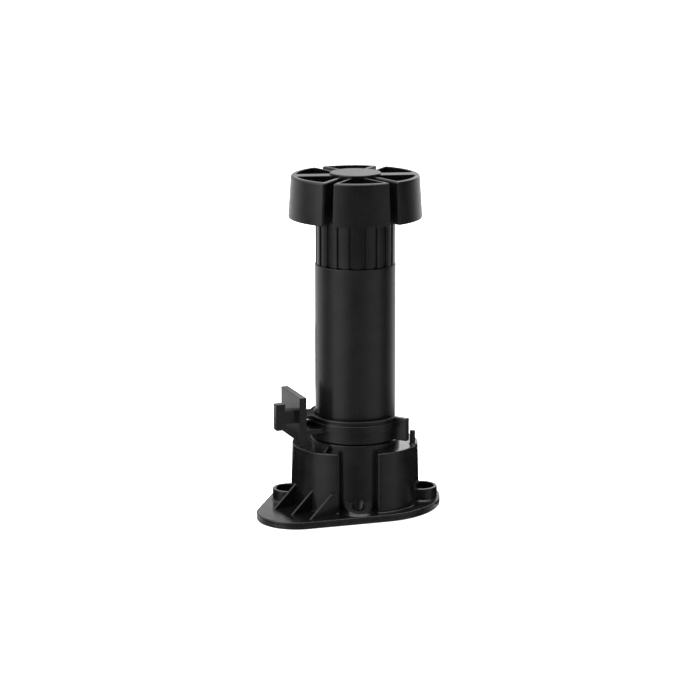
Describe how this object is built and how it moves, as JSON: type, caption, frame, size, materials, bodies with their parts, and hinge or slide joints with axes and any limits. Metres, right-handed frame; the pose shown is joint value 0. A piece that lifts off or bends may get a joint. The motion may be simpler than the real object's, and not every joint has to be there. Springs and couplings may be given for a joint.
{
  "type": "furniture leveling foot",
  "caption": "Adjustable plinth leg: mounting plate with socket, plug-in leg tube, fluted screw foot with a slotted disc, and a swivelling plinth clip with a T-hook.",
  "frame": {"origin": "on the leg's axis, in the mounting plate's underside, which is the face that is screwed to the cabinet", "axes": "+Z from the mounting face along the leg to the foot's sole; -Y is the front, the side with the screw valley seen first; +X to the right"},
  "size_m": [0.0821, 0.0743, 0.1489],
  "materials": {
    "moulded_gloss": "moulded black plastic, semi-gloss",
    "moulded_clip": "moulded black plastic, semi-gloss",
    "extruded_satin": "extruded black plastic, satin"
  },
  "bodies": {
    "plate": {"mounting_plate": "moulded_gloss"},
    "leg": {"leg_tube": "extruded_satin", "thread_insert": "moulded_gloss"},
    "stem": {"threaded_stem": "moulded_gloss"},
    "foot": {"foot_disc": "moulded_gloss"},
    "clip": {"plinth_clip": "moulded_clip"}
  },
  "joints": [
    {"name": "leg_plug", "type": "slide", "parent": "plate", "child": "leg", "axis": [0, 0, 1], "range_m": [0, 0.026]},
    {"name": "clip_swivel", "type": "hinge", "parent": "leg", "child": "clip", "pos_m": [0, 0, 0.038], "axis": [0, 0, 1], "range_deg": [-75, 12]},
    {"name": "foot_travel", "type": "slide", "parent": "leg", "child": "stem", "axis": [0, 0, 1], "range_m": [0, 0.03]},
    {"name": "foot_turn", "type": "hinge", "parent": "stem", "child": "foot", "pos_m": [0, 0, 0.1388], "axis": [0, 0, 1], "range_deg": [0, 2160]}
  ],
  "couplings": [
    {"joint": "foot_travel", "follows": "foot_turn", "m_per_rad": 0.00079577}
  ]
}
